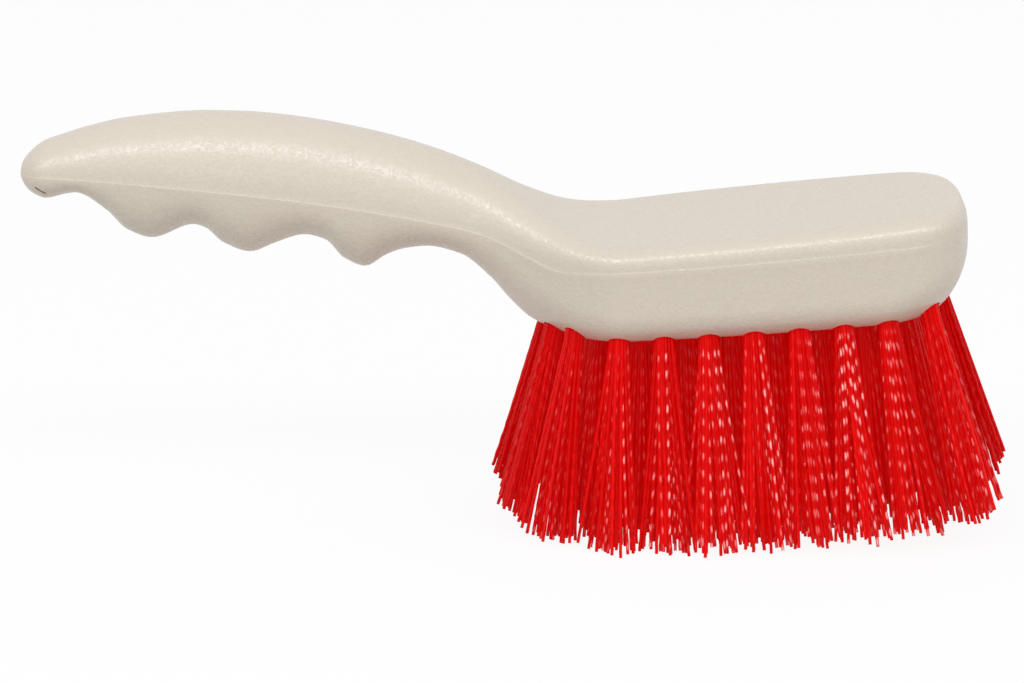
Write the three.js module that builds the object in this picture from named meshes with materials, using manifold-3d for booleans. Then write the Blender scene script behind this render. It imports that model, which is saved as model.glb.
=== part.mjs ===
// A hand brush for scrubbing tyres: one moulded handle and block, with tufts of bristle
// anchored in blind holes in the block's underside.
//
// The moulding is drawn in the block's own frame: +X to the toe, +Y to the left side,
// +Z away from the bristles, x = 0 at mid block and z = 0 on the block's underside.
// The whole brush then tips back by REST_TILT, the angle at which it balances on its bristles.
import * as THREE from "three";
import { mergeVertices } from "three/addons/utils/BufferGeometryUtils.js";
import Module from "manifold-3d";

const wasm = await Module();
wasm.setup();

// Driving dimensions, in millimetres and degrees.

// Block
const BLOCK_LENGTH = 97;
const BLOCK_WIDTH = 55.4;
const SIDE_BOW = 3.4;
const BLOCK_THICKNESS = 23.5;
const TOP_SLOPE = 2;
const PARTING_HEIGHT = 18.2;
const PARTING_SLOPE = 1.1;
const TOE_ROUND = 20;
const TOE_FULLNESS = 3.1;
const TOP_EDGE = 7;
const TOP_FULLNESS = 3;
const TOE_TOP_EDGE = 5.5;
const LOWER_EDGE = 8;
const TOE_EDGE_REACH = 15;
const TOE_EDGE_HEIGHT = 17;
const TOE_EDGE_GROWTH = 1.2;
const WALL_DRAFT = 2;

// Handle, with its side view drawn as lines of [distance behind the heel, height]
const HANDLE_LENGTH = 116;
const HANDLE_WIDTH = 24.4;
const BUTT_ROUND = 7.5;
const BUTT_WIDTH = 16.4;
const BUTT_TAPER = 44;
const NECK_BEHIND = 17;
const NECK_AHEAD = 18;
const TOP_FILLET = 6;
const PARTING_FILLET = 1.5;
const HEEL_FILLET = 4;
const TOP_LINE = [
  [-25, 13.2], [2.5, 31.4], [12, 37.8], [25, 44], [38.5, 48.7], [52, 52.2], [65, 54.4], [78, 55.3],
  [91, 54.8], [100, 53.4], [107, 51.7], [114, 49.9],
];
const PARTING_LINE = [
  [-25, 7.5], [3, 20.4], [12, 24.9], [25, 28.9], [52, 35.3], [78, 40], [104, 43.4], [112, 44],
];
// The belly's low points are the finger ridges and its high points lie under the fingers.
const BELLY_LINE = [
  [-25, -14], [-5, -1], [3, 3.1], [7.5, 7.5], [11.5, 12.7], [18, 18.8], [26, 21.1], [31, 20.7],
  [35, 19.4], [39.6, 17.1], [44.5, 19.4], [48, 23.9], [53.2, 25.6], [59.5, 24.1], [65.4, 22.3],
  [71.5, 24.9], [75, 28.6], [78, 29.7], [87.3, 27.1], [93, 29.4], [97, 34.2], [103.8, 39], [111, 37.7],
];

// The handle's hollow core, and its slit of a vent at the lower right of the butt
const CORE_WALL = 4;
const CORE_START = 16;
const CORE_END_WALL = 3.5;
const CORE_CAP = 9;
const CORE_SIDES = 14;
const VENT_LENGTH = 2.8;
const VENT_WIDTH = 0.6;
const VENT_FROM_END = 4.8;
const VENT_TURN = 65;
const VENT_SLANT = 35;

// Rows of tufts, with the margins at each row's two ends. The outer rows draw in where the block narrows.
const OUTER_TUFTS = 9;
const OUTER_HEEL_MARGIN = 6.5;
const OUTER_TOE_MARGIN = 10;
const INNER_TUFTS = 9;
const INNER_HEEL_MARGIN = 1.5;
const INNER_TOE_MARGIN = 15;
const MIDDLE_TUFTS = 10;
const MIDDLE_HEEL_MARGIN = 1;
const MIDDLE_TOE_MARGIN = 6.5;
const SIDE_MARGIN = 5.4;
const HOLE_DIAMETER = 5;
const HOLE_DEPTH = 13;
const HEEL_LEAN = 16;
const TOE_LEAN = 12.5;
const LEAN_GROWTH = 2.2;
const SIDE_LEAN = 6;

// Bristle strands, trimmed to a surface that is flat in the middle and rises to both ends
const STRANDS = 8;
const INNER_STRANDS = 3;
const INNER_RING = 0.38;
const STRAND_RADIUS = 0.55;
const ROOT_SPREAD = 1.75;
const TIP_SPREAD = 5;
const TRIM_LENGTH = 48;
const HEEL_OVERHANG = 15.5;
const TOE_OVERHANG = 7.5;
const TRIM_RISE = 24;
const HEEL_BOW = 3.5;
const TOE_BOW = 5;
const TRIM_CROWN = 0.3;
const RAGGED = 0.3;

// The slice of the underside that the strands are fused to
const SLICE = 5;
const STRAND_START = 4;

// Flat-wire anchors
const ANCHOR_BITE = 0.9;
const ANCHOR_HEIGHT = 2;
const ANCHOR_THICKNESS = 0.5;
const FOLD = 1.4;

const GAP = 0.3;
const REST_TILT = 4;
const REST_CUT = 0.5;

// The largest share of a rib's reach or depth that a rounded edge takes
const EDGE_LIMIT = 0.96;

// Mesh fineness
const HANDLE_STEP = 2.5;
const NECK_STEP = 2.9;
const BLOCK_STEPS = 4;
const END_RIBS = 8;
const TOP_ARC = 6;
const LOWER_ARC = 5;
const HOLE_SIDES = 12;
const PLUG_SIDES = 6;
const STRAND_SIDES = 3;
const TRIM_PASSES = 12;
const TRIM_PACE = 0.8;

const radians = THREE.MathUtils.degToRad;
const lerp = THREE.MathUtils.lerp;
const HEEL_X = -BLOCK_LENGTH / 2;
const TOE_X = BLOCK_LENGTH / 2;
const BUTT_X = HEEL_X - HANDLE_LENGTH;
const BUTT_SPINE_X = BUTT_X + BUTT_ROUND;
const TOE_SPINE_X = TOE_X - TOE_ROUND;
const FIELD_HEEL_X = HEEL_X + MIDDLE_HEEL_MARGIN;
const FIELD_TOE_X = TOE_X - MIDDLE_TOE_MARGIN;
const FIELD_MIDDLE_X = (FIELD_HEEL_X + FIELD_TOE_X) / 2;

// The rows from the right-hand side to the left
const outerRow = { count: OUTER_TUFTS, heelMargin: OUTER_HEEL_MARGIN, toeMargin: OUTER_TOE_MARGIN };
const innerRow = { count: INNER_TUFTS, heelMargin: INNER_HEEL_MARGIN, toeMargin: INNER_TOE_MARGIN };
const middleRow = { count: MIDDLE_TUFTS, heelMargin: MIDDLE_HEEL_MARGIN, toeMargin: MIDDLE_TOE_MARGIN };
const ROWS = [outerRow, innerRow, middleRow, innerRow, outerRow];
const ROW_PITCH = (BLOCK_WIDTH - 2 * SIDE_MARGIN) / (ROWS.length - 1);

// A curve through points that keeps their high and low points, held level beyond its ends.
function lineThrough(points) {
  const last = points.length - 1;
  const rise = [];
  for (let k = 0; k < last; k++) {
    rise.push((points[k + 1][1] - points[k][1]) / (points[k + 1][0] - points[k][0]));
  }
  const slope = points.map((point, k) => {
    if (k === 0) return rise[0];
    if (k === last) return rise[last - 1];
    if (rise[k - 1] * rise[k] <= 0) return 0;
    return (2 * rise[k - 1] * rise[k]) / (rise[k - 1] + rise[k]);
  });
  return (at) => {
    const t = THREE.MathUtils.clamp(at, points[0][0], points[last][0]);
    let k = 0;
    while (k < last - 1 && t > points[k + 1][0]) k++;
    const width = points[k + 1][0] - points[k][0];
    const u = (t - points[k][0]) / width;
    const start = points[k][1] * (1 + 2 * u) * (1 - u) ** 2;
    const end = points[k + 1][1] * u * u * (3 - 2 * u);
    const bend = slope[k] * u * (1 - u) ** 2 - slope[k + 1] * u * u * (1 - u);
    return start + end + width * bend;
  };
}

// The higher of two levels, with a fillet where they meet.
function filletMax(a, b, size) {
  const near = Math.max(size - Math.abs(a - b), 0) / size;
  return Math.max(a, b) + (near * near * size) / 4;
}

const gripTop = lineThrough(TOP_LINE);
const gripParting = lineThrough(PARTING_LINE);
const gripBelly = lineThrough(BELLY_LINE);

const behind = (x) => HEEL_X - x;
const topPlane = (x) => BLOCK_THICKNESS + x * Math.tan(radians(TOP_SLOPE));
const topAt = (x) => filletMax(gripTop(behind(x)), topPlane(x), TOP_FILLET);
const partingPlane = (x) => PARTING_HEIGHT + x * Math.tan(radians(PARTING_SLOPE));
const partingAt = (x) => filletMax(gripParting(behind(x)), partingPlane(x), PARTING_FILLET);
const bellyAt = (x) => filletMax(gripBelly(behind(x)), 0, HEEL_FILLET);

// 0 along the handle and 1 along the block.
const blockShare = (x) => THREE.MathUtils.smoothstep(-behind(x), -NECK_BEHIND, NECK_AHEAD);

function halfWidthAt(x) {
  const toButt = THREE.MathUtils.clamp((BUTT_SPINE_X + BUTT_TAPER - x) / BUTT_TAPER, 0, 1);
  const grip = lerp(HANDLE_WIDTH, BUTT_WIDTH, toButt ** 2) / 2;
  const block = BLOCK_WIDTH / 2 - SIDE_BOW * (x / (BLOCK_LENGTH / 2)) ** 2;
  return lerp(grip, block, blockShare(x));
}

// Half the outline's width, with the toe's rounding.
function outlineAt(x) {
  const toe = Math.max(x - TOE_SPINE_X, 0) / TOE_ROUND;
  return halfWidthAt(x) * (1 - toe ** TOE_FULLNESS) ** (1 / TOE_FULLNESS);
}

// One rib of the moulding: from the spine over the top, down past the parting line at the
// outline, and back to the spine along the belly. toeShare is 1 at the very toe.
function rib(outlineX, outlineY, spineX, toeShare) {
  const reach = Math.hypot(spineX - outlineX, outlineY);
  const share = blockShare(outlineX);
  const place = (inset) => {
    const x = lerp(outlineX, spineX, inset / reach);
    return [x, lerp(outlineY, 0, inset / reach)];
  };
  const points = [];
  const blockEdge = lerp(TOP_EDGE, TOE_TOP_EDGE, toeShare);
  const topEdge = Math.min(lerp(reach, blockEdge, share), EDGE_LIMIT * reach);
  const fullness = lerp(2, TOP_FULLNESS, share);
  const onTop = (inset) => {
    const [x, y] = place(inset);
    const q = Math.min(inset / topEdge, 1);
    const z = lerp(partingAt(x), topAt(x), (1 - (1 - q) ** fullness) ** (1 / fullness));
    points.push(new THREE.Vector3(x, y, z));
  };
  onTop(reach);
  for (let k = TOP_ARC; k >= 0; k--) {
    onTop(topEdge * (1 - Math.cos((k / TOP_ARC) * (Math.PI / 2))));
  }
  const parting = partingAt(outlineX);
  const depth = parting - bellyAt(outlineX);
  const sideReach = lerp(LOWER_EDGE, TOE_EDGE_REACH, toeShare);
  const sideHeight = lerp(LOWER_EDGE, TOE_EDGE_HEIGHT, toeShare);
  const edgeHeight = Math.min(lerp(depth, sideHeight, share), EDGE_LIMIT * depth);
  const draft = (depth - edgeHeight) * Math.tan(radians(WALL_DRAFT));
  const edgeReach = Math.min(lerp(reach, sideReach, share), EDGE_LIMIT * reach - draft);
  for (let k = 0; k <= LOWER_ARC; k++) {
    const turn = (k / LOWER_ARC) * (Math.PI / 2);
    const [x, y] = place(draft + edgeReach * (1 - Math.cos(turn)));
    const height = edgeHeight * ((partingAt(x) - bellyAt(x)) / depth);
    points.push(new THREE.Vector3(x, y, bellyAt(x) + height * (1 - Math.sin(turn))));
  }
  points.push(new THREE.Vector3(spineX, 0, bellyAt(spineX)));
  return points;
}

// The ribs of the right-hand side, from the butt to the toe.
function sideRibs() {
  const ribs = [];
  for (let k = 0; k < END_RIBS; k++) {
    const turn = (k / END_RIBS) * (Math.PI / 2);
    const x = BUTT_SPINE_X - BUTT_ROUND * Math.cos(turn);
    ribs.push(rib(x, -halfWidthAt(BUTT_SPINE_X) * Math.sin(turn), BUTT_SPINE_X, 0));
  }
  const stops = [
    [BUTT_SPINE_X, HEEL_X - NECK_BEHIND, HANDLE_STEP],
    [HEEL_X - NECK_BEHIND, HEEL_X + NECK_AHEAD, NECK_STEP],
    [HEEL_X + NECK_AHEAD, TOE_SPINE_X, (TOE_SPINE_X - HEEL_X - NECK_AHEAD) / BLOCK_STEPS],
  ];
  for (const [from, to, step] of stops) {
    const count = Math.max(1, Math.round((to - from) / step));
    for (let k = 0; k < count; k++) {
      const x = lerp(from, to, k / count);
      ribs.push(rib(x, -halfWidthAt(x), x, 0));
    }
  }
  for (let k = 0; k <= END_RIBS; k++) {
    const turn = (k / END_RIBS) * (Math.PI / 2);
    const x = TOE_SPINE_X + TOE_ROUND * Math.sin(turn) ** (2 / TOE_FULLNESS);
    const across = k === END_RIBS ? 0 : Math.cos(turn) ** (2 / TOE_FULLNESS);
    const toeShare = ((x - TOE_SPINE_X) / TOE_ROUND) ** TOE_EDGE_GROWTH;
    ribs.push(rib(x, -halfWidthAt(x) * across, TOE_SPINE_X, toeShare));
  }
  return ribs;
}

// A closed geometry from a ring of ribs with as many points each.
function skin(ribs) {
  const positions = [];
  const across = ribs[0].length;
  for (const points of ribs) {
    for (const p of points) positions.push(p.x, p.y, p.z);
  }
  const index = [];
  for (let i = 0; i < ribs.length; i++) {
    const next = (i + 1) % ribs.length;
    for (let k = 0; k < across - 1; k++) {
      const a = i * across + k;
      const b = next * across + k;
      index.push(a, a + 1, b, b, a + 1, b + 1);
    }
  }
  const geometry = new THREE.BufferGeometry();
  geometry.setAttribute("position", new THREE.Float32BufferAttribute(positions, 3));
  geometry.setIndex(index);
  return geometry;
}

function toManifold(source) {
  const bare = source.clone();
  bare.deleteAttribute("normal");
  bare.deleteAttribute("uv");
  const welded = mergeVertices(bare, 1e-4);
  const corners = welded.index.array;
  const triangles = [];
  for (let k = 0; k < corners.length; k += 3) {
    const [a, b, c] = [corners[k], corners[k + 1], corners[k + 2]];
    if (a !== b && b !== c && c !== a) triangles.push(a, b, c);
  }
  const mesh = new wasm.Mesh({
    numProp: 3,
    vertProperties: new Float32Array(welded.attributes.position.array),
    triVerts: new Uint32Array(triangles),
  });
  mesh.merge();
  return new wasm.Manifold(mesh);
}

function toGeometry(solid) {
  const mesh = solid.getMesh();
  const geometry = new THREE.BufferGeometry();
  geometry.setAttribute("position", new THREE.BufferAttribute(mesh.vertProperties, 3));
  geometry.setIndex(new THREE.BufferAttribute(mesh.triVerts, 1));
  geometry.computeVertexNormals();
  return geometry;
}

// The hollow core keeps an even wall under the handle's surface and closes to a point at both ends.
function coreSolid() {
  const from = BUTT_X + CORE_END_WALL;
  const to = HEEL_X - CORE_START;
  const count = Math.round((to - from) / HANDLE_STEP);
  const ribs = [];
  for (let i = 0; i < CORE_SIDES; i++) {
    const turn = (-2 * Math.PI * i) / CORE_SIDES;
    const points = [];
    for (let k = 0; k <= count; k++) {
      const x = lerp(from, to, 0.5 - 0.5 * Math.cos((Math.PI * k) / count));
      const toEnd = Math.min(x - from, to - x, CORE_CAP) / CORE_CAP;
      const open = k === 0 || k === count ? 0 : Math.sqrt(toEnd * (2 - toEnd));
      const high = topAt(x) - CORE_WALL;
      const low = bellyAt(x) + CORE_WALL;
      const wide = halfWidthAt(x) - CORE_WALL;
      const y = open * wide * Math.cos(turn);
      points.push(new THREE.Vector3(x, y, (high + low + open * (high - low) * Math.sin(turn)) / 2));
    }
    ribs.push(points);
  }
  return toManifold(skin(ribs));
}

// A slanted slit from the core's butt end out through the lower right of the handle.
function ventSolid() {
  const x = BUTT_X + VENT_FROM_END;
  const geometry = new THREE.BoxGeometry(VENT_LENGTH, VENT_WIDTH, HANDLE_WIDTH);
  geometry.rotateZ(-radians(VENT_SLANT)).translate(0, 0, -HANDLE_WIDTH / 2);
  geometry.rotateX(-radians(VENT_TURN)).translate(x, 0, partingAt(x));
  return toManifold(geometry);
}

function box(from, to) {
  const size = new THREE.Vector3().subVectors(to, from);
  const middle = new THREE.Vector3().addVectors(from, to).multiplyScalar(0.5);
  const geometry = new THREE.BoxGeometry(size.x, size.y, size.z);
  return toManifold(geometry.translate(middle.x, middle.y, middle.z));
}

// A tuft's axis points out of the block. Its frame has z along the axis, away from the tips.
function tuftFrame(tuft) {
  const outOfHole = tuft.axis.clone().negate();
  const alongX = new THREE.Vector3(1, 0, 0).addScaledVector(outOfHole, -outOfHole.x).normalize();
  const alongY = new THREE.Vector3().crossVectors(outOfHole, alongX);
  const frame = new THREE.Matrix4().makeBasis(alongX, alongY, outOfHole);
  return frame.setPosition(tuft.mouth);
}

function layOutTufts() {
  const tufts = [];
  const middle = (ROWS.length - 1) / 2;
  ROWS.forEach(({ count, heelMargin, toeMargin }, row) => {
    const outward = row - middle;
    for (let k = 0; k < count; k++) {
      const x = lerp(HEEL_X + heelMargin, TOE_X - toeMargin, k / (count - 1));
      const share = (x - FIELD_MIDDLE_X) / (FIELD_TOE_X - FIELD_MIDDLE_X);
      const leanX = radians(x < FIELD_MIDDLE_X ? -HEEL_LEAN : TOE_LEAN) * Math.abs(share) ** LEAN_GROWTH;
      const leanY = radians(SIDE_LEAN) * (outward / middle);
      const fromMiddle = Math.min(Math.abs(outward) * ROW_PITCH, outlineAt(x) - SIDE_MARGIN);
      tufts.push({
        row,
        place: k,
        mouth: new THREE.Vector3(x, Math.sign(outward) * fromMiddle, 0),
        axis: new THREE.Vector3(Math.tan(leanX), Math.tan(leanY), -1).normalize(),
      });
    }
  });
  return tufts;
}

// A prism along a tuft's axis between two depths in the hole.
function plug(tuft, radius, sides, from, to) {
  const geometry = new THREE.CylinderGeometry(radius, radius, to - from, sides);
  geometry.rotateX(Math.PI / 2).translate(0, 0, (from + to) / 2);
  return toManifold(geometry.applyMatrix4(tuftFrame(tuft)));
}

const ANCHOR_LENGTH = HOLE_DIAMETER + 2 * ANCHOR_BITE;
const ANCHOR_DEPTH = HOLE_DEPTH - GAP - FOLD - ANCHOR_HEIGHT / 2;

function anchorGeometry(tuft, clearance) {
  const grown = 2 * clearance;
  const geometry = new THREE.BoxGeometry(
    ANCHOR_LENGTH + grown, ANCHOR_THICKNESS + grown, ANCHOR_HEIGHT + grown,
  );
  return geometry.translate(0, 0, ANCHOR_DEPTH).applyMatrix4(tuftFrame(tuft));
}

// A repeatable number from 0 to 1 for a strand.
function chance(seed) {
  const wave = Math.sin(seed * 12.9898) * 43758.5453;
  return wave - Math.floor(wave);
}

function trimHeight(x, y) {
  const reach = BLOCK_LENGTH / 2 + (x < 0 ? HEEL_OVERHANG : TOE_OVERHANG);
  const bow = x < 0 ? HEEL_BOW : TOE_BOW;
  const out = Math.min(Math.abs(x) / reach, 1);
  const rise = TRIM_RISE * (1 - (1 - out ** bow) ** (1 / bow));
  return rise + TRIM_CROWN * (y / (BLOCK_WIDTH / 2)) ** 2 - TRIM_LENGTH;
}

// The strands of a tuft stand in two rings and spread towards their tips.
function layOutStrands(tuft, tuftIndex) {
  const strands = [];
  for (let k = 0; k < STRANDS; k++) {
    const isInner = k < INNER_STRANDS;
    const count = isInner ? INNER_STRANDS : STRANDS - INNER_STRANDS;
    const turn = (2 * Math.PI * (isInner ? k : k - INNER_STRANDS)) / count + tuftIndex;
    const out = new THREE.Vector3(Math.cos(turn), Math.sin(turn), 0);
    out.multiplyScalar(isInner ? INNER_RING : 1);
    const at = (level, spread) => {
      const along = (level - tuft.mouth.z) / tuft.axis.z;
      const centre = tuft.mouth.clone().addScaledVector(tuft.axis, along);
      return centre.addScaledVector(out, spread);
    };
    const root = at(STRAND_START, ROOT_SPREAD);
    const tip = at(-TRIM_LENGTH, TIP_SPREAD);
    const way = tip.clone().sub(root).normalize();
    let length = tip.distanceTo(root);
    for (let pass = 0; pass < TRIM_PASSES; pass++) {
      const end = root.clone().addScaledVector(way, length);
      length -= (TRIM_PACE * (trimHeight(end.x, end.y) - end.z)) / Math.abs(way.z);
    }
    length -= RAGGED * chance(tuftIndex * STRANDS + k + 1);
    strands.push({ root, way, length, turn });
  }
  return strands;
}

// Height above the ground's direction when the brush is tipped back to rest.
const tilt = radians(REST_TILT);
const restHeight = (p) => p.x * Math.sin(tilt) + p.z * Math.cos(tilt);

// A straight strand, with any corner that would pass below the ground cut back to it.
function strandSolid(strand, ground) {
  const side = new THREE.Vector3(0, 1, 0).cross(strand.way).normalize();
  const other = new THREE.Vector3().crossVectors(strand.way, side);
  const roots = [];
  const tips = [];
  for (let k = 0; k < STRAND_SIDES; k++) {
    const turn = strand.turn + (2 * Math.PI * k) / STRAND_SIDES;
    const corner = strand.root.clone();
    corner.addScaledVector(side, STRAND_RADIUS * Math.cos(turn));
    corner.addScaledVector(other, STRAND_RADIUS * Math.sin(turn));
    const room = (restHeight(corner) - ground) / -restHeight(strand.way);
    roots.push(corner);
    tips.push(corner.clone().addScaledVector(strand.way, Math.min(strand.length, room)));
  }
  const positions = [...roots, ...tips].flatMap((p) => [p.x, p.y, p.z]);
  const geometry = new THREE.BufferGeometry();
  geometry.setAttribute("position", new THREE.Float32BufferAttribute(positions, 3));
  const index = [];
  for (let k = 0; k < STRAND_SIDES; k++) {
    const next = (k + 1) % STRAND_SIDES;
    const [tip, nextTip] = [k + STRAND_SIDES, next + STRAND_SIDES];
    index.push(k, next, tip, next, nextTip, tip);
    if (k > 1) index.push(0, k, k - 1, STRAND_SIDES, tip - 1, tip);
  }
  geometry.setIndex(index);
  return toManifold(geometry);
}

const right = sideRibs();
const left = right.slice(1, -1).reverse();
const mirrored = left.map((points) => points.map((p) => new THREE.Vector3(p.x, -p.y, p.z)));
const moulding = toManifold(skin([...right, ...mirrored]));

const tufts = layOutTufts();
const strands = tufts.map((tuft, k) => layOutStrands(tuft, k));
const lowest = Math.min(
  ...strands.flat().map((s) => restHeight(s.root.clone().addScaledVector(s.way, s.length))),
);
const ground = lowest + REST_CUT;

const FAR = 4 * (BLOCK_LENGTH + HANDLE_LENGTH);
const under = (y0, y1, top) => box(new THREE.Vector3(-FAR, y0, -FAR), new THREE.Vector3(FAR, y1, top));

// The block above the slice, with a hole and an anchor's pocket for each tuft.
const holeRadius = HOLE_DIAMETER / 2;
const holes = tufts.map((tuft) => plug(tuft, holeRadius, HOLE_SIDES, -HOLE_DEPTH, HOLE_DEPTH));
const pockets = tufts.map((tuft) => toManifold(anchorGeometry(tuft, GAP)));
const cuts = wasm.Manifold.union([under(-FAR, FAR, SLICE + GAP), ...holes, ...pockets]);
const hollow = wasm.Manifold.union([coreSolid(), ventSolid()]);
const blockSolid = moulding.subtract(cuts).subtract(hollow);

const plastic = new THREE.MeshStandardMaterial({ color: "#ded4c6", roughness: 0.5, metalness: 0 });
const filament = new THREE.MeshStandardMaterial({ color: "#cf1a1a", roughness: 0.38, metalness: 0 });
const wire = new THREE.MeshStandardMaterial({ color: "#b4b7ba", roughness: 0.35, metalness: 1 });

function piece(name, geometry, material) {
  const mesh = new THREE.Mesh(geometry, material);
  mesh.name = name;
  return mesh;
}

const brush = new THREE.Group();
brush.name = "brush";
brush.add(piece("handle_block", toGeometry(blockSolid), plastic));

// Three sets of rows, each fused to its own part of the slice.
const plugRadius = holeRadius * Math.cos(Math.PI / HOLE_SIDES) - GAP;
const between = ROW_PITCH / 2;
const sets = [
  { name: "bristles_right", rows: [0, 1], from: -FAR, to: -between - GAP / 2 },
  { name: "bristles_middle", rows: [2], from: -between + GAP / 2, to: between - GAP / 2 },
  { name: "bristles_left", rows: [3, 4], from: between + GAP / 2, to: FAR },
];
const bristles = new THREE.Group();
bristles.name = "bristles";
for (const set of sets) {
  const solids = [moulding.intersect(under(set.from, set.to, SLICE))];
  const slots = [];
  tufts.forEach((tuft, k) => {
    if (!set.rows.includes(tuft.row)) return;
    solids.push(plug(tuft, plugRadius, PLUG_SIDES, STRAND_START, HOLE_DEPTH - GAP));
    slots.push(toManifold(anchorGeometry(tuft, GAP)));
    for (const strand of strands[k]) solids.push(strandSolid(strand, ground));
  });
  const solid = wasm.Manifold.union(solids).subtract(wasm.Manifold.union(slots));
  bristles.add(piece(set.name, toGeometry(solid), filament));
}
brush.add(bristles);

const anchors = new THREE.Group();
anchors.name = "anchors";
for (const tuft of tufts) {
  const name = `anchor_${tuft.row + 1}_${tuft.place + 1}`;
  anchors.add(piece(name, anchorGeometry(tuft, 0), wire));
}
brush.add(anchors);

// Tip the brush back to rest and stand it on the origin.
brush.rotation.y = -tilt;
const object = new THREE.Group();
object.name = "tire_brush";
object.add(brush);
object.updateMatrixWorld(true);
const extent = new THREE.Box3().setFromObject(brush, true);
brush.position.set(-(extent.min.x + extent.max.x) / 2, 0, -ground);

export default object;
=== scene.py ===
import math
import bmesh
import bpy
import numpy as np
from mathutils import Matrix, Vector


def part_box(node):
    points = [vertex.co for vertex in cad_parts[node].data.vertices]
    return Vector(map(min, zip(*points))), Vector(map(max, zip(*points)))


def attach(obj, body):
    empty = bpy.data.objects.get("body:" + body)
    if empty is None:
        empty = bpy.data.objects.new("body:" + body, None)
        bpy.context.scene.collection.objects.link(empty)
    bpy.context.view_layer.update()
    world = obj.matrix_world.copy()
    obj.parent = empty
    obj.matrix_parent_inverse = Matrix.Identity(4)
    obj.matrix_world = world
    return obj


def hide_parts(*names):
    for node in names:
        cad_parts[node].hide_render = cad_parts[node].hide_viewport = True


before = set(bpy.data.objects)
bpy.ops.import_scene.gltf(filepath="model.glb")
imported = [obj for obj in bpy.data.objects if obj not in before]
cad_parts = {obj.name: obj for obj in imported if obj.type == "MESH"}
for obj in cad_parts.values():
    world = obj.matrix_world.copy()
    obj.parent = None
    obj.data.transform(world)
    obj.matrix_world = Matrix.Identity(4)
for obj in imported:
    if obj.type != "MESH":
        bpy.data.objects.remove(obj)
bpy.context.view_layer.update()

# A hand brush for scrubbing tyres, standing on its bristles: one cream moulding that is both
# handle and block, tufts of crimped red filament in its underside, and the flat-wire anchors
# that hold them.
#
# The moulding and the tufts are drawn in millimetres in the block's own frame: +X to the toe,
# +Y to the left side, +Z away from the bristles, x = 0 at mid block and z = 0 on the underside.
# to_rest() then tips them back by REST_TILT and puts them where the frame's handle_block is.
MM = 0.001

# Block
BLOCK_LENGTH = 97
BLOCK_WIDTH = 55.4
SIDE_BOW = 3.4
BLOCK_THICKNESS = 23.5
TOP_SLOPE = math.radians(2)
PARTING_HEIGHT = 18.2
PARTING_SLOPE = math.radians(1.1)
TOE_ROUND = 20
TOE_FULLNESS = 3.1
TOP_EDGE = 7
TOP_FULLNESS = 3
TOE_TOP_EDGE = 5.5
LOWER_EDGE = 8
TOE_EDGE_REACH = 15
TOE_EDGE_HEIGHT = 17
TOE_EDGE_GROWTH = 1.2
WALL_DRAFT = math.radians(2)

# Handle, with its side view drawn as lines of (distance behind the heel, height)
HANDLE_LENGTH = 116
HANDLE_WIDTH = 24.4
BUTT_ROUND = 7.5
BUTT_WIDTH = 16.4
BUTT_TAPER = 44
NECK_BEHIND = 17
NECK_AHEAD = 18
TOP_FILLET = 6
PARTING_FILLET = 1.5
HEEL_FILLET = 4
EDGE_LIMIT = 0.96
TOP_LINE = [
    (-25, 13.2), (2.5, 31.4), (12, 37.8), (25, 44), (38.5, 48.7), (52, 52.2), (65, 54.4), (78, 55.3),
    (91, 54.8), (100, 53.4), (107, 51.7), (114, 49.9),
]
PARTING_LINE = [
    (-25, 7.5), (3, 20.4), (12, 24.9), (25, 28.9), (52, 35.3), (78, 40), (104, 43.4), (112, 44),
]
BELLY_LINE = [
    (-25, -14), (-5, -1), (3, 3.1), (7.5, 7.5), (11.5, 12.7), (18, 18.8), (26, 21.1), (31, 20.7),
    (35, 19.4), (39.6, 17.1), (44.5, 19.4), (48, 23.9), (53.2, 25.6), (59.5, 24.1), (65.4, 22.3),
    (71.5, 24.9), (75, 28.6), (78, 29.7), (87.3, 27.1), (93, 29.4), (97, 34.2), (103.8, 39), (111, 37.7),
]

# The fine ledge that the mould's lower half leaves along the parting line, and where on the toe it runs out
LEDGE_PROUD = 0.1
LEDGE_RISE = 0.3
LEDGE_FADE = 2.6
LEDGE_TOE_START = 0.25
LEDGE_TOE_END = 0.6

# The handle's hollow core, and its slit of a vent at the lower right of the butt
CORE_WALL = 4
CORE_START = 16
CORE_END_WALL = 3.5
CORE_CAP = 9
VENT_LENGTH = 2.8
VENT_WIDTH = 0.6
VENT_FROM_END = 4.8
VENT_TURN = math.radians(65)
VENT_SLANT = math.radians(35)

# Rows of tufts, from the right-hand side to the left, as (count, heel margin, toe margin). The
# outer rows draw in where the block narrows.
ROWS = [(9, 6.5, 10), (9, 1.5, 15), (10, 1, 6.5), (9, 1.5, 15), (9, 6.5, 10)]
SIDE_MARGIN = 5.4
HOLE_RADIUS = 2.5
HOLE_DEPTH = 13
HEEL_LEAN = math.radians(16)
TOE_LEAN = math.radians(12.5)
LEAN_GROWTH = 2.2
SIDE_LEAN = math.radians(6)
ANCHOR_BITE = 0.9
ANCHOR_HEIGHT = 2
ANCHOR_THICKNESS = 0.5
ANCHOR_GAP = 0.3
FOLD = 1.4

# A tuft's filaments, packed round in the hole, and spreading and straying on the way out
FILAMENTS = 37
FILAMENT_RADIUS = 0.37
THINNEST, THICKEST = 0.92, 1.06
PACKING_GAP = 0.05
TIP_SPREAD = 6.1
TIP_DRIFT = 1.1
DRIFT_GROWTH = 1.6
STRAY_SHARE = 0.05
STRAY_DRIFT = 2.2

# Crimps, across the brush: CRIMP_SWING is how far their plane turns, CRIMP_STEP how far a filament is out of
# step with the next, in radians, and FLANK_SLOPE the slope from which a flank faces up in full and takes the
# full painted highlight
CRIMP_PITCH = 3.9
CRIMP_DEPTH = 0.2
SHALLOWEST, DEEPEST = 0.7, 1.25
CRIMP_EASE = 2.5
CRIMP_SWING = math.radians(11)
CRIMP_STEP = 1.5
FLANK_SLOPE = math.sin(math.radians(13))

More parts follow.
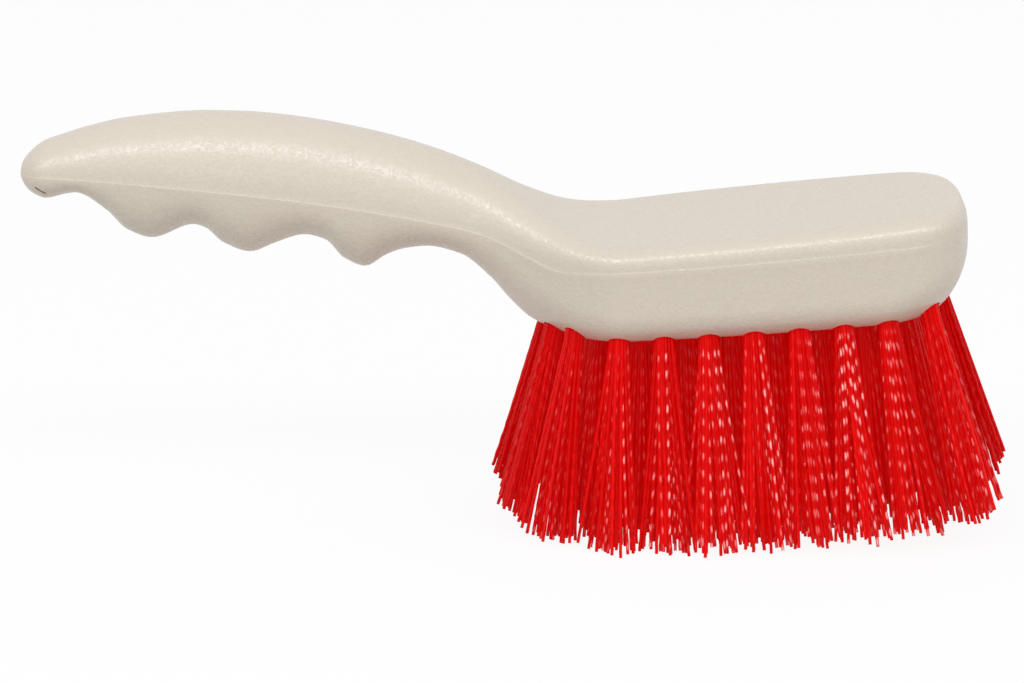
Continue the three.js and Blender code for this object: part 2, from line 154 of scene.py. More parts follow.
# The surface that the filaments are trimmed to, flat in the middle and rising to both ends, and their
# ragged tips
TRIM_LENGTH = 48
HEEL_OVERHANG = 15.5
TOE_OVERHANG = 7.5
TRIM_RISE = 24
HEEL_BOW = 3.5
TOE_BOW = 5
TRIM_CROWN = 0.3
RAGGED = 0.8
RAGGED_LIMIT = 3.2
GROUND_CLEARANCE = 0.15
TRIM_PASSES = 14
TRIM_PACE = 0.8

# Filaments differ in tone at random. Towards the sides of the block they are painted lighter and their
# crimps get a stronger painted highlight, each by its own measure; the inner rows stay darker as painted
# shade between the tufts.
OUTER_GROWTH = 1.5
TONE_RANGE = 1.3
GLINT_RANGE = 2.8
GLINT_DULL = 0.9
GLINT_LIMIT = 1.4

REST_TILT = math.radians(4)

# Mesh fineness
HANDLE_STEP = 1
NECK_STEP = 0.8
BLOCK_STEP = 2.5
END_RIBS = 30
TOP_ARC = 18
LEDGE_STEPS = 3
WALL_STEPS = 8
LOWER_ARC = 16
CORE_SIDES = 24
HOLE_SIDES = 36
FILAMENT_SIDES = 6
FILAMENT_RINGS = 76
WELD_DISTANCE = 0.002
SMOOTH_ANGLE = math.radians(38)

HEEL_X = -BLOCK_LENGTH / 2
TOE_X = BLOCK_LENGTH / 2
BUTT_X = HEEL_X - HANDLE_LENGTH
BUTT_SPINE_X = BUTT_X + BUTT_ROUND
TOE_SPINE_X = TOE_X - TOE_ROUND
FIELD_HEEL_X = HEEL_X + min(heel_margin for count, heel_margin, toe_margin in ROWS)
FIELD_TOE_X = TOE_X - min(toe_margin for count, heel_margin, toe_margin in ROWS)
FIELD_MIDDLE_X = (FIELD_HEEL_X + FIELD_TOE_X) / 2
ROW_PITCH = (BLOCK_WIDTH - 2 * SIDE_MARGIN) / (len(ROWS) - 1)
ANCHOR_LENGTH = 2 * HOLE_RADIUS + 2 * ANCHOR_BITE
ANCHOR_DEPTH = HOLE_DEPTH - ANCHOR_GAP - FOLD - ANCHOR_HEIGHT / 2


# Curves that the moulding is drawn with

def lerp(start, end, share):
    return start + (end - start) * share


def smoothstep(value, low, high):
    share = min(max((value - low) / (high - low), 0), 1)
    return share * share * (3 - 2 * share)


def line_through(points):
    """A curve through points that keeps their high and low points, held level beyond its ends."""
    last = len(points) - 1
    rise = [(b[1] - a[1]) / (b[0] - a[0]) for a, b in zip(points, points[1:])]
    slope = [rise[0]]
    for before, after in zip(rise, rise[1:]):
        slope.append(0 if before * after <= 0 else 2 * before * after / (before + after))
    slope.append(rise[-1])

    def height(at):
        at = min(max(at, points[0][0]), points[last][0])
        k = 0
        while k < last - 1 and at > points[k + 1][0]:
            k += 1
        width = points[k + 1][0] - points[k][0]
        u = (at - points[k][0]) / width
        start = points[k][1] * (1 + 2 * u) * (1 - u) ** 2
        end = points[k + 1][1] * u * u * (3 - 2 * u)
        bend = slope[k] * u * (1 - u) ** 2 - slope[k + 1] * u * u * (1 - u)
        return start + end + width * bend

    return height


def fillet_max(a, b, size):
    """The higher of two levels, with a fillet where they meet."""
    near = max(size - abs(a - b), 0) / size
    return max(a, b) + near * near * size / 4


grip_top = line_through(TOP_LINE)
grip_parting = line_through(PARTING_LINE)
grip_belly = line_through(BELLY_LINE)


def top_at(x):
    block_top = BLOCK_THICKNESS + x * math.tan(TOP_SLOPE)
    return fillet_max(grip_top(HEEL_X - x), block_top, TOP_FILLET)


def parting_at(x):
    block_parting = PARTING_HEIGHT + x * math.tan(PARTING_SLOPE)
    return fillet_max(grip_parting(HEEL_X - x), block_parting, PARTING_FILLET)


def belly_at(x):
    return fillet_max(grip_belly(HEEL_X - x), 0, HEEL_FILLET)


def block_share(x):
    """0 along the handle and 1 along the block."""
    return smoothstep(x - HEEL_X, -NECK_BEHIND, NECK_AHEAD)


def half_width_at(x):
    to_butt = min(max((BUTT_SPINE_X + BUTT_TAPER - x) / BUTT_TAPER, 0), 1)
    grip = lerp(HANDLE_WIDTH, BUTT_WIDTH, to_butt ** 2) / 2
    block = BLOCK_WIDTH / 2 - SIDE_BOW * (x / (BLOCK_LENGTH / 2)) ** 2
    return lerp(grip, block, block_share(x))


def outline_at(x):
    """Half the outline's width, with the toe's rounding."""
    toe = max(x - TOE_SPINE_X, 0) / TOE_ROUND
    return half_width_at(x) * (1 - toe ** TOE_FULLNESS) ** (1 / TOE_FULLNESS)


def trim_height(x, y):
    """The surface that the filaments are trimmed to, for arrays of places."""
    reach = BLOCK_LENGTH / 2 + np.where(x < 0, HEEL_OVERHANG, TOE_OVERHANG)
    bow = np.where(x < 0, HEEL_BOW, TOE_BOW)
    out = np.minimum(np.abs(x) / reach, 1)
    rise = TRIM_RISE * (1 - (1 - out ** bow) ** (1 / bow))
    return rise + TRIM_CROWN * (y / (BLOCK_WIDTH / 2)) ** 2 - TRIM_LENGTH


# Meshes

def link_piece(name, vertices, faces):
    mesh = bpy.data.meshes.new(name)
    mesh.from_pydata(vertices, [], faces)
    piece = bpy.data.objects.new(name, mesh)
    bpy.context.scene.collection.objects.link(piece)
    return piece


def grid_faces(ribs, across):
    """Quads between each rib and the next, and from the last back to the first."""
    faces = []
    for i in range(ribs):
        after = (i + 1) % ribs
        for k in range(across - 1):
            a, b = i * across + k, after * across + k
            faces.append((a, a + 1, b + 1, b))
    return faces


def weld(piece):
    shape = bmesh.new()
    shape.from_mesh(piece.data)
    bmesh.ops.remove_doubles(shape, verts=shape.verts, dist=WELD_DISTANCE * MM)
    shape.to_mesh(piece.data)
    shape.free()


def cut_away(piece, cutter):
    change = piece.modifiers.new("cut", "BOOLEAN")
    change.operation = "DIFFERENCE"
    change.solver = "EXACT"
    change.object = cutter
    made = piece.evaluated_get(bpy.context.evaluated_depsgraph_get())
    mesh = bpy.data.meshes.new_from_object(made)
    piece.modifiers.remove(change)
    piece.data = mesh
    bpy.data.objects.remove(cutter)


def smooth(piece):
    piece.data.shade_smooth()
    piece.data.set_sharp_from_angle(angle=SMOOTH_ANGLE)


# The moulding

def moulding_rib(outline_x, outline_y, spine_x, toe_share):
    """From the spine over the top, down past the parting line at the outline, and back to the spine
    along the belly. toe_share is 1 at the very toe."""
    reach = math.hypot(spine_x - outline_x, outline_y)
    share = block_share(outline_x)
    parting = parting_at(outline_x)
    ledge = LEDGE_PROUD * (1 - smoothstep(toe_share, LEDGE_TOE_START, LEDGE_TOE_END))

    def place(inset):
        away = inset / reach
        return lerp(outline_x, spine_x, away), lerp(outline_y, 0, away)

    points = []
    block_edge = lerp(TOP_EDGE, TOE_TOP_EDGE, toe_share)
    top_edge = min(lerp(reach, block_edge, share), EDGE_LIMIT * reach)
    top_depth = top_at(outline_x) - parting
    fullness = lerp(2, TOP_FULLNESS, share)
    ledge_share = LEDGE_RISE / top_depth

    def on_top(rise, proud):
        inset = top_edge * (1 - (1 - rise ** fullness) ** (1 / fullness))
        x, y = place(inset - proud)
        points.append((x, y, lerp(parting_at(x), top_at(x), rise)))

    points.append((spine_x, 0, top_at(spine_x)))
    for k in range(TOP_ARC, 0, -1):
        on_top(lerp(ledge_share, 1, math.sin(math.pi / 2 * k / TOP_ARC)), 0)
    for k in range(LEDGE_STEPS, -1, -1):
        on_top(ledge_share * k / LEDGE_STEPS, ledge * (1 - smoothstep(k / LEDGE_STEPS, 0, 1)))

    depth = parting - belly_at(outline_x)
    side_reach = lerp(LOWER_EDGE, TOE_EDGE_REACH, toe_share)
    side_height = lerp(LOWER_EDGE, TOE_EDGE_HEIGHT, toe_share)
    edge_height = min(lerp(depth, side_height, share), EDGE_LIMIT * depth)
    wall = depth - edge_height
    draft = wall * math.tan(WALL_DRAFT)
    edge_reach = min(lerp(reach, side_reach, share), EDGE_LIMIT * reach - draft)

    def ledge_at(down):
        return ledge * (1 - smoothstep(down, 0, LEDGE_FADE))

    for k in range(1, WALL_STEPS):
        down = wall * k / WALL_STEPS
        x, y = place(down * math.tan(WALL_DRAFT) - ledge_at(down))
        points.append((x, y, parting_at(x) - down))
    for k in range(LOWER_ARC + 1):
        turn = (k / LOWER_ARC) * (math.pi / 2)
        down = wall + edge_height * math.sin(turn)
        x, y = place(draft + edge_reach * (1 - math.cos(turn)) - ledge_at(down))
        height = edge_height * (parting_at(x) - belly_at(x)) / depth
        points.append((x, y, belly_at(x) + height * (1 - math.sin(turn))))
    points.append((spine_x, 0, belly_at(spine_x)))
    return points


def moulding_ribs():
    """All the ribs, from the butt along the right-hand side to the toe and back along the left."""
    right = []
    for k in range(END_RIBS):
        turn = (k / END_RIBS) * (math.pi / 2)
        x = BUTT_SPINE_X - BUTT_ROUND * math.cos(turn)
        right.append(moulding_rib(x, -half_width_at(BUTT_SPINE_X) * math.sin(turn), BUTT_SPINE_X, 0))
    stops = [
        (BUTT_SPINE_X, HEEL_X - NECK_BEHIND, HANDLE_STEP),
        (HEEL_X - NECK_BEHIND, HEEL_X + NECK_AHEAD, NECK_STEP),
        (HEEL_X + NECK_AHEAD, TOE_SPINE_X, BLOCK_STEP),
    ]
    for start, end, step in stops:
        count = round((end - start) / step)
        for k in range(count):
            x = lerp(start, end, k / count)
            right.append(moulding_rib(x, -half_width_at(x), x, 0))
    for k in range(END_RIBS + 1):
        turn = (k / END_RIBS) * (math.pi / 2)
        x = TOE_SPINE_X + TOE_ROUND * math.sin(turn) ** (2 / TOE_FULLNESS)
        across = 0 if k == END_RIBS else math.cos(turn) ** (2 / TOE_FULLNESS)
        toe_share = ((x - TOE_SPINE_X) / TOE_ROUND) ** TOE_EDGE_GROWTH
        right.append(moulding_rib(x, -half_width_at(x) * across, TOE_SPINE_X, toe_share))
    left = [[(x, -y, z) for x, y, z in points] for points in reversed(right[1:-1])]
    return right + left


def tip_back(points):
    """Points of the block's frame, in metres and tipped back to rest about the origin."""
    x, y, z = np.moveaxis(np.asarray(points, float) * MM, -1, 0)
    level = x * math.cos(REST_TILT) - z * math.sin(REST_TILT)
    height = x * math.sin(REST_TILT) + z * math.cos(REST_TILT)
    return np.stack([level, y, height], axis=-1)


def rest_shift(points):
    """How far the tipped moulding lies from the frame's handle_block."""
    tipped = tip_back(points)
    low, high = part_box("handle_block")
    middle = (tipped[:, 0].min() + tipped[:, 0].max()) / 2
    return np.array([(low.x + high.x) / 2 - middle, 0, high.z - tipped[:, 2].max()])


ribs = moulding_ribs()
moulding_points = [point for points in ribs for point in points]
REST_SHIFT = rest_shift(moulding_points)


def to_rest(points):
    return tip_back(points) + REST_SHIFT


def lay_out_tufts():
    """Each tuft's row, place in the row, hole's mouth and axes: along x, along y and out of the hole."""
    tufts = []
    middle = (len(ROWS) - 1) / 2
    for row, (count, heel_margin, toe_margin) in enumerate(ROWS):
        outward = row - middle
        for place in range(count):
            x = lerp(HEEL_X + heel_margin, TOE_X - toe_margin, place / (count - 1))
            share = abs(x - FIELD_MIDDLE_X) / (FIELD_TOE_X - FIELD_MIDDLE_X)
            lean = (-HEEL_LEAN if x < FIELD_MIDDLE_X else TOE_LEAN) * share ** LEAN_GROWTH
            side_lean = SIDE_LEAN * outward / middle
            out = Vector((math.tan(lean), math.tan(side_lean), -1)).normalized()
            into = -out
            along_x = (Vector((1, 0, 0)) - into * into.x).normalized()
            axes = [np.array(v) for v in (along_x, into.cross(along_x), out)]
            from_middle = min(abs(outward) * ROW_PITCH, outline_at(x) - SIDE_MARGIN)
            mouth = np.array([x, math.copysign(from_middle, outward), 0])
            tufts.append((row, place, mouth, axes))
    return tufts


def hole_cutter(tufts):
    vertices, faces = [], []
    for row, place, mouth, (along_x, along_y, out) in tufts:
        first = len(vertices)
        for reach in (-HOLE_DEPTH, HOLE_DEPTH):
            for k in range(HOLE_SIDES):
                turn = 2 * math.pi * k / HOLE_SIDES
                side = along_x * math.cos(turn) + along_y * math.sin(turn)
                vertices.append(mouth + out * reach + side * HOLE_RADIUS)
        inner = [first + k for k in range(HOLE_SIDES)]
        outer = [first + HOLE_SIDES + k for k in range(HOLE_SIDES)]
        faces.append(inner)
        faces.append(outer[::-1])
        for k in range(HOLE_SIDES):
            after = (k + 1) % HOLE_SIDES
            faces.append((inner[after], inner[k], outer[k], outer[after]))
    return link_piece("hole_cutter", to_rest(vertices).tolist(), faces)


def box_corners(middle, axes, sizes):
    """The corners of a box, with z changing fastest."""
    signs = [(i, j, k) for i in (-1, 1) for j in (-1, 1) for k in (-1, 1)]
    return [middle + sum(a * s * size / 2 for a, s, size in zip(axes, sign, sizes)) for sign in signs]


BOX_FACES = [(0, 1, 3, 2), (4, 6, 7, 5), (0, 4, 5, 1), (2, 3, 7, 6), (0, 2, 6, 4), (1, 5, 7, 3)]


def pocket_cutter(tufts):
    sizes = [size + 2 * ANCHOR_GAP for size in (ANCHOR_LENGTH, ANCHOR_THICKNESS, ANCHOR_HEIGHT)]
    vertices, faces = [], []
    for row, place, mouth, (along_x, along_y, out) in tufts:
        first = len(vertices)
        vertices += box_corners(mouth - out * ANCHOR_DEPTH, (along_x, along_y, -out), sizes)
        faces += [[first + k for k in face] for face in BOX_FACES]
    return link_piece("pocket_cutter", to_rest(vertices).tolist(), faces)


def core_cutter():
    """The hollow core keeps an even wall under the handle's surface and closes to a point at both ends."""
    start, end = BUTT_X + CORE_END_WALL, HEEL_X - CORE_START
    count = round((end - start) / HANDLE_STEP)
    vertices = []
    for i in range(CORE_SIDES):
        turn = -2 * math.pi * i / CORE_SIDES
        for k in range(count + 1):
            x = lerp(start, end, 0.5 - 0.5 * math.cos(math.pi * k / count))
            to_end = min(x - start, end - x, CORE_CAP) / CORE_CAP
            opening = math.sqrt(max(to_end * (2 - to_end), 0))
            high, low = top_at(x) - CORE_WALL, belly_at(x) + CORE_WALL
            y = opening * (half_width_at(x) - CORE_WALL) * math.cos(turn)
            vertices.append((x, y, (high + low + opening * (high - low) * math.sin(turn)) / 2))
    cutter = link_piece("core_cutter", to_rest(vertices).tolist(), grid_faces(CORE_SIDES, count + 1))
    weld(cutter)
    return cutter


def vent_cutter():
    """A slanted slit from the core's butt end out through the lower right of the handle."""
    x = BUTT_X + VENT_FROM_END
    out = np.array([0, -math.sin(VENT_TURN), -math.cos(VENT_TURN)])
    up = np.array([0, -math.cos(VENT_TURN), math.sin(VENT_TURN)])
    along = np.array([math.cos(VENT_SLANT), 0, 0]) - up * math.sin(VENT_SLANT)
    across = np.cross(out, along)
    middle = np.array([x, 0, parting_at(x)]) + out * HANDLE_WIDTH / 2
    corners = box_corners(middle, (along, across, out), (VENT_LENGTH, VENT_WIDTH, HANDLE_WIDTH))
    return link_piece("vent_cutter", to_rest(corners).tolist(), BOX_FACES)


def make_moulding(tufts):
    faces = grid_faces(len(ribs), len(ribs[0]))
    moulding = link_piece("moulding", to_rest(moulding_points).tolist(), faces)
    weld(moulding)
    cut_away(moulding, hole_cutter(tufts))
    cut_away(moulding, pocket_cutter(tufts))
    cut_away(moulding, core_cutter())
    cut_away(moulding, vent_cutter())
    smooth(moulding)
    return moulding


# The tufts

def filament_paths(mouth, axes, chance):
    """The middle lines of a tuft's filaments, as (filament, ring, xyz) in the block's frame."""
    along_x, along_y, out = axes
    count = FILAMENTS
    order = np.arange(count)
    turn = order * math.pi * (3 - math.sqrt(5)) + chance.uniform(0, 2 * math.pi)
    packing = HOLE_RADIUS - FILAMENT_RADIUS - PACKING_GAP
    spread = packing * np.sqrt((order + 0.5) / count)
    root = np.stack([spread * np.cos(turn), spread * np.sin(turn)], axis=1)
    stray = np.where(chance.random(count) < STRAY_SHARE, STRAY_DRIFT, TIP_DRIFT)
    drift = chance.normal(0, 1, (count, 2)) * stray[:, None]
    phase = chance.uniform(0, 2 * math.pi) + chance.normal(0, CRIMP_STEP, count)
    crimp_turn = math.pi / 2 + chance.normal(0, CRIMP_SWING, count)
    crimp_way = np.stack([np.cos(crimp_turn), np.sin(crimp_turn)], axis=1)
    crimp_depth = CRIMP_DEPTH * chance.uniform(SHALLOWEST, DEEPEST, count)
    ragged = np.minimum(chance.exponential(RAGGED, count), RAGGED_LIMIT)

    def at(reach):
        """Places at each filament's distances out of the hole, as (filament, ring)."""
        share = np.maximum(reach, 0)[..., None] / TRIM_LENGTH
        flare = 1 + (TIP_SPREAD / packing - 1) * share
        ease = np.clip(reach / CRIMP_EASE, 0, 1)
        wave = crimp_depth[:, None] * ease * np.sin(2 * math.pi * reach / CRIMP_PITCH + phase[:, None])
        side = root[:, None] * flare + drift[:, None] * share ** DRIFT_GROWTH
        side += crimp_way[:, None] * wave[..., None]
        beside_anchor = np.maximum(np.abs(side[..., 1]), ANCHOR_THICKNESS / 2 + FILAMENT_RADIUS)
        held = np.sign(side[..., 1]) * beside_anchor
        across = np.where(reach < -HOLE_DEPTH / 3, held, side[..., 1])
        return mouth + side[..., :1] * along_x + across[..., None] * along_y + reach[..., None] * out

    length = np.full(count, float(TRIM_LENGTH))
    for k in range(TRIM_PASSES):
        tip = at(length[:, None])[:, 0]
        length -= TRIM_PACE * (trim_height(tip[:, 0], tip[:, 1]) - tip[:, 2])
    length -= ragged
    for k in range(TRIM_PASSES):
        tip = to_rest(at(length[:, None])[:, 0])
        length += np.minimum(tip[:, 2] / MM - GROUND_CLEARANCE, 0)
    outside = length[:, None] * np.linspace(0, 1, FILAMENT_RINGS)
    in_hole = np.tile([FOLD - HOLE_DEPTH, -HOLE_DEPTH / 2, -HOLE_DEPTH / 6], (count, 1))
    return at(np.concatenate([in_hole, outside], axis=1))


def make_tuft(name, mouth, axes, chance):
    """A bundle of filaments, each a closed tube with cut ends."""
    paths = to_rest(filament_paths(mouth, axes, chance))
    count, rings, _ = paths.shape
    along = np.gradient(paths, axis=1)
    along /= np.linalg.norm(along, axis=2, keepdims=True)
    side = np.cross(along, tip_back(axes[1]))
    side /= np.linalg.norm(side, axis=2, keepdims=True)
    other = np.cross(along, side)
    radius = FILAMENT_RADIUS * MM * chance.uniform(THINNEST, THICKEST, count)[:, None, None, None]
    turn = 2 * math.pi * np.arange(FILAMENT_SIDES) / FILAMENT_SIDES
    round_it = side[:, :, None] * np.cos(turn)[:, None] + other[:, :, None] * np.sin(turn)[:, None]
    vertices = (paths[:, :, None] + radius * round_it).reshape(-1, 3)
    vertices[:, 2] = np.maximum(vertices[:, 2], 0)

    ring = np.arange(rings - 1)[:, None]
    k = np.arange(FILAMENT_SIDES)[None]
    after = (k + 1) % FILAMENT_SIDES
    low, high = ring * FILAMENT_SIDES, (ring + 1) * FILAMENT_SIDES
    wall = np.stack([low + k, low + after, high + after, high + k], axis=2).reshape(-1, 4)
    first = np.arange(count)[:, None, None] * rings * FILAMENT_SIDES
    walls = (first + wall[None]).reshape(-1, 4)
    root_end = first[:, 0] + np.arange(FILAMENT_SIDES)[None, ::-1]
    tip_end = first[:, 0] + (rings - 1) * FILAMENT_SIDES + np.arange(FILAMENT_SIDES)[None]
    ends = np.concatenate([root_end, tip_end])
    tuft = link_piece(name, vertices.tolist(), walls.tolist() + ends.tolist())

    # Painted shade: tone and crimp highlight grow towards the sides, so the inner rows stay darker, as in
    # shade.
    outer = (abs(mouth[1]) / (BLOCK_WIDTH / 2)) ** OUTER_GROWTH
    tone_and_shade = tuft.data.attributes.new("filament_tone_and_shade", "FLOAT", "POINT")
    tones_and_shade = TONE_RANGE * outer * chance.random(count)
    tone_and_shade.data.foreach_set("value", np.repeat(tones_and_shade, rings * FILAMENT_SIDES).astype(np.float32))
    # Painted highlight: the crimps' upward-facing flanks, on filaments picked at random and more often near
    # the
    # sides, get a paler colour and a glossy coat in the material.
    flank = tuft.data.attributes.new("crimp_flank", "FLOAT", "POINT")
    facing_up = np.clip(-(round_it @ tip_back(axes[2])) / MM / FLANK_SLOPE, 0, 1)
    glint_strength = outer * np.clip(GLINT_RANGE * chance.random(count) - GLINT_DULL, 0, GLINT_LIMIT)
    flank.data.foreach_set("value", (glint_strength[:, None, None] * facing_up).astype(np.float32).ravel())
    lay_flat(tuft, count, rings)
    smooth(tuft)
    return tuft


def lay_flat(tuft, count, rings):
    """A flat layout for a tuft's surface: an upright strip to a filament, with its ends above and below."""
    strip, gap, margin, end_size = 1 / count, 0.1, 0.03, 0.006
    ring, k = np.meshgrid(np.arange(rings - 1), np.arange(FILAMENT_SIDES), indexing="ij")
    corner_k = np.stack([k, k + 1, k + 1, k], axis=2).reshape(-1, 4) / FILAMENT_SIDES
    corner_ring = np.stack([ring, ring, ring + 1, ring + 1], axis=2).reshape(-1, 4) / (rings - 1)
    across = (np.arange(count)[:, None, None] + gap / 2 + (1 - gap) * corner_k[None]) * strip
    along = np.broadcast_to(margin + (1 - 2 * margin) * corner_ring[None], across.shape)
    walls = np.stack([across, along], axis=3).reshape(-1, 2)
    turn = 2 * math.pi * np.arange(FILAMENT_SIDES) / FILAMENT_SIDES
    middle = (np.arange(count)[:, None] + 0.5) * strip + end_size * np.cos(turn)
    ends = []
    for level in (margin / 2, 1 - margin / 2):
        height = np.broadcast_to(level + end_size * np.sin(turn), middle.shape)
        ends.append(np.stack([middle, height], axis=2).reshape(-1, 2))
    layout = tuft.data.uv_layers.new(name="OFBake")
    layout.data.foreach_set("uv", np.concatenate([walls, *ends]).astype(np.float32).ravel())


# Finishes

class Value:
    """An output of a finish's node. Arithmetic on it adds Math nodes to that finish."""

    def __init__(self, finish, socket):
        self.finish = finish
        self.socket = socket

    def out(self, name):
        return Value(self.finish, self.socket.node.outputs[name])

    def math(self, operation, *terms):
        return self.finish.node("ShaderNodeMath", {"operation": operation}, dict(enumerate(terms)))

    def __add__(self, other):
        return self.math("ADD", self, other)

    def __radd__(self, other):
        return self.math("ADD", other, self)

    def __sub__(self, other):
        return self.math("SUBTRACT", self, other)

    def __rsub__(self, other):
        return self.math("SUBTRACT", other, self)

    def __mul__(self, other):
        return self.math("MULTIPLY", self, other)

    def __rmul__(self, other):
        return self.math("MULTIPLY", other, self)

    def higher_of(self, other):
        return self.math("MAXIMUM", self, other)


class Finish:
    """A material or world, made of nodes."""

    def __init__(self, owner):
        owner.use_nodes = True
        self.owner = owner
        self.nodes = owner.node_tree.nodes
        self.links = owner.node_tree.links
        self.nodes.clear()

    def node(self, kind, settings, sockets, output=0):
        made = self.nodes.new(kind)
        for name, value in settings.items():
            setattr(made, name, value)
        for name, value in sockets.items():
            if isinstance(value, Value):
                self.links.new(value.socket, made.inputs[name])
            else:
                made.inputs[name].default_value = value
        return Value(self, made.outputs[output]) if len(made.outputs) else None

    def mix(self, factor, start, end):
        return self.node("ShaderNodeMix", {"data_type": "RGBA"}, {0: factor, 6: start, 7: end}, 2)

    def noise(self, place, scale, detail=2.0, roughness=0.5):
        sockets = {"Vector": place, "Scale": scale, "Detail": detail, "Roughness": roughness}
        return self.node("ShaderNodeTexNoise", {}, sockets, 0)

    def surface(self, shader):
        is_world = isinstance(self.owner, bpy.types.World)
        kind = "ShaderNodeOutputWorld" if is_world else "ShaderNodeOutputMaterial"
        self.node(kind, {}, {"Surface": shader})

    def seen(self):
        """1 for what the camera sees, straight on or in a gloss or glass, and 0 for light on things."""
        path = self.node("ShaderNodeLightPath", {}, {}, "Is Camera Ray")
        return path.higher_of(path.out("Is Glossy Ray")).higher_of(path.out("Is Transmission Ray"))


def cream_plastic():
    """Satin moulded plastic with a fine spark grain and faint clouds of colour."""
    finish = Finish(bpy.data.materials.new("cream_plastic"))
    place = finish.node("ShaderNodeTexCoord", {}, {}, "Object")
    clouds = finish.noise(place, 55, 3)
    warm, cool, dark = (0.715, 0.636, 0.536, 1), (0.695, 0.629, 0.536, 1), (0.62, 0.54, 0.44, 1)
    flecks = finish.noise(place, 900, 2)
    colour = finish.mix(flecks * 0.12, finish.mix(clouds, warm, cool), dark)
    grain = finish.noise(place, 1300, 1, 0.5)
    swell = finish.noise(place, 420, 1)
    bump = {"Strength": 1.0, "Distance": 8e-5, "Height": grain + swell * 0.6}
    sockets = {
        "Base Color": colour,
        "Roughness": 0.36 + flecks * 0.16,
        "Normal": finish.node("ShaderNodeBump", {}, bump),
        "Specular IOR Level": 0.85,
        "Coat Weight": grain * 1.1 - 0.4,
        "Coat Roughness": 0.27,
        "Coat IOR": 2.3,
    }
    finish.surface(finish.node("ShaderNodeBsdfPrincipled", {}, sockets))
    return finish.owner


def red_filament():
    """Red monofilament. Each filament has its own depth of colour, with painted shade that darkens the inner
    rows. The upper flank of each crimp carries a painted highlight, a paler colour, and a glossy coat. A
    faint glow is painted light that stands for the light that comes through it."""
    finish = Finish(bpy.data.materials.new("red_filament"))
    settings = {"attribute_type": "GEOMETRY", "attribute_name": "filament_tone_and_shade"}
    tone_and_shade = finish.node("ShaderNodeAttribute", settings, {}, "Fac")
    settings = {"attribute_type": "GEOMETRY", "attribute_name": "crimp_flank"}
    flank = finish.node("ShaderNodeAttribute", settings, {}, "Fac")
    place = finish.node("ShaderNodeTexCoord", {}, {}, "Object")
    streaks = finish.noise(place, 600, 2)
    glint = flank * flank * (finish.noise(place, 130, 1) * 4 - 1)
    deep, bright, painted_highlight = (0.47, 0, 0, 1), (0.76, 0.006, 0.006, 1), (1, 0.38, 0.38, 1)
    # Each filament's own depth of colour, with painted shade that darkens the inner rows.
    colour = finish.mix(0.75 * tone_and_shade + 0.25 * streaks, deep, bright)
    sockets = {
        # Painted highlight: the upper flanks of the crimps are mixed towards a pale pink.
        "Base Color": finish.mix(glint * flank, colour, painted_highlight),
        "Roughness": 0.2 + streaks * 0.08,
        "Specular IOR Level": 0.08,
        "Coat Weight": glint,
        "Coat Roughness": 0.12,
        "Coat IOR": 2.0,
        # Painted light: a glow in the filament's own colour stands for light coming through the filaments.
        "Emission Color": colour,
        "Emission Strength": 0.34,
    }
    finish.surface(finish.node("ShaderNodeBsdfPrincipled", {}, sockets))
    return finish.owner


def drawn_steel():
    """Flat steel wire with fine marks along its length from drawing."""
    finish = Finish(bpy.data.materials.new("drawn_steel"))
    place = finish.node("ShaderNodeTexCoord", {}, {}, "Object")
    stretch = {"Vector": place, "Scale": (300, 9000, 9000)}
    lines = finish.noise(finish.node("ShaderNodeMapping", {}, stretch), 1, 3)
    dull, bright = (0.42, 0.43, 0.44, 1), (0.62, 0.63, 0.64, 1)
    sockets = {
        "Base Color": finish.mix(lines, dull, bright),
        "Metallic": 1.0,
        "Roughness": 0.24 + lines * 0.2,
        "Normal": finish.node("ShaderNodeBump", {}, {"Distance": 1e-5, "Height": lines}),
    }
    finish.surface(finish.node("ShaderNodeBsdfPrincipled", {}, sockets))
    return finish.owner


# The stage: a wide softbox above the camera, a faint light from the front, and a white room

SOFTBOX_POWER = 11.2
SOFTBOX_WIDTH = 3.2
SOFTBOX_HEIGHT = 0.26
SOFTBOX_DISTANCE = 1.2
SOFTBOX_ELEVATION = math.radians(49)
FRONT_STRENGTH = 0.06
FRONT_ELEVATION = math.radians(13)
FRONT_AZIMUTH = math.radians(-6)
FRONT_SIZE = math.radians(13)
ROOM_LIGHT = 0.6
FLOOR_SHADE = 0.09
FLOOR_BOUNCE = (0.56, 0.545, 0.51, 1)
FLOOR_SIZE = 8

CAMERA_AIM = Vector((-0.0011, 0, 0.0414))
CAMERA_DISTANCE = 1
CAMERA_ELEVATION = math.radians(16)
CAMERA_LENS = 153.4


def make_lamp(name, kind, azimuth, elevation, distance, settings):
    lamp = bpy.data.lights.new(name, kind)
    for setting, value in settings.items():
        setattr(lamp, setting, value)
    light = bpy.data.objects.new(name, lamp)
    level = math.cos(elevation)
    towards = Vector((math.sin(azimuth) * level, -math.cos(azimuth) * level, math.sin(elevation)))
    light.location = CAMERA_AIM + towards * distance
    light.rotation_mode = "QUATERNION"
    light.rotation_quaternion = towards.to_track_quat("Z", "Y")
    light.visible_camera = False
    bpy.context.scene.collection.objects.link(light)


def white_floor():
    finish = Finish(bpy.data.materials.new("white_floor"))
    white = {"Color": (1, 1, 1, 1)}
    glow = finish.node("ShaderNodeEmission", {}, {**white, "Strength": 1.0})
    matt = finish.node("ShaderNodeBsdfDiffuse", {}, white)
    shown = finish.node("ShaderNodeMixShader", {}, {0: FLOOR_SHADE, 1: glow, 2: matt})
    unseen = finish.node("ShaderNodeBsdfDiffuse", {}, {"Color": FLOOR_BOUNCE})
    finish.surface(finish.node("ShaderNodeMixShader", {}, {0: finish.seen(), 1: unseen, 2: shown}))
    return finish.owner


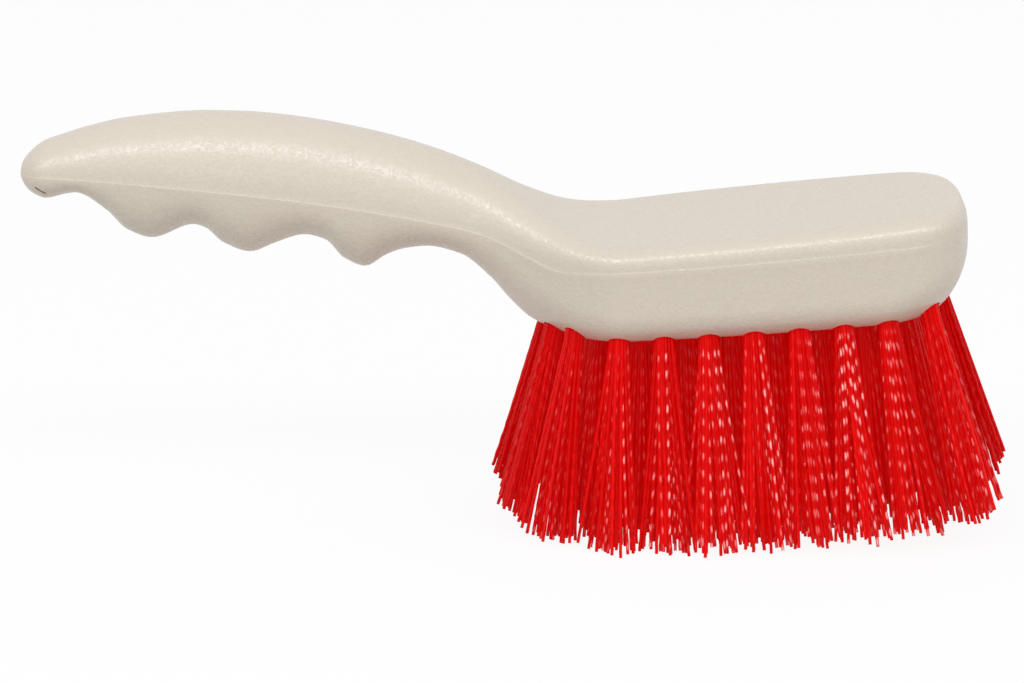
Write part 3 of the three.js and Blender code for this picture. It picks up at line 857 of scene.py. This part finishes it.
def make_stage():
    half = FLOOR_SIZE / 2
    corners = [(-half, -half, 0), (half, -half, 0), (half, half, 0), (-half, half, 0)]
    floor = link_piece("floor", corners, [(0, 1, 2, 3)])
    floor.data.materials.append(white_floor())

    room = bpy.data.worlds.new("room")
    bpy.context.scene.world = room
    finish = Finish(room)
    strength = ROOM_LIGHT + (1 - ROOM_LIGHT) * finish.seen()
    light = {"Color": (1, 1, 1, 1), "Strength": strength}
    finish.surface(finish.node("ShaderNodeBackground", {}, light))

    softbox = {
        "shape": "RECTANGLE",
        "size": SOFTBOX_WIDTH,
        "size_y": SOFTBOX_HEIGHT,
        "energy": SOFTBOX_POWER,
    }
    make_lamp("softbox", "AREA", 0, SOFTBOX_ELEVATION, SOFTBOX_DISTANCE, softbox)
    front = {"energy": FRONT_STRENGTH, "angle": FRONT_SIZE}
    make_lamp("front_light", "SUN", FRONT_AZIMUTH, FRONT_ELEVATION, SOFTBOX_DISTANCE, front)


def make_camera():
    view = bpy.data.cameras.new("camera")
    view.lens = CAMERA_LENS
    camera = bpy.data.objects.new("camera", view)
    back = Vector((0, -math.cos(CAMERA_ELEVATION), math.sin(CAMERA_ELEVATION)))
    camera.location = CAMERA_AIM + back * CAMERA_DISTANCE
    camera.rotation_mode = "QUATERNION"
    camera.rotation_quaternion = back.to_track_quat("Z", "Y")
    bpy.context.scene.collection.objects.link(camera)
    bpy.context.scene.camera = camera


# The brush

ROW_NODES = ["bristles_right", "bristles_right", "bristles_middle", "bristles_left", "bristles_left"]

bpy.context.scene.view_settings.view_transform = "Standard"
make_camera()
make_stage()

tufts = lay_out_tufts()
moulding = make_moulding(tufts)
moulding.data.materials.append(cream_plastic())
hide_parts("handle_block")
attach(moulding, "root")

chance = np.random.default_rng(11)
filament = red_filament()
for row, place, mouth, axes in tufts:
    tuft = make_tuft(f"tuft_{row + 1}_{place + 1}", mouth, axes, chance)
    tuft.data.materials.append(filament)
    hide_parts(ROW_NODES[row])
    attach(tuft, "root")

steel = drawn_steel()
for name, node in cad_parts.items():
    if name.startswith("anchor_"):
        node.data.materials.clear()
        node.data.materials.append(steel)
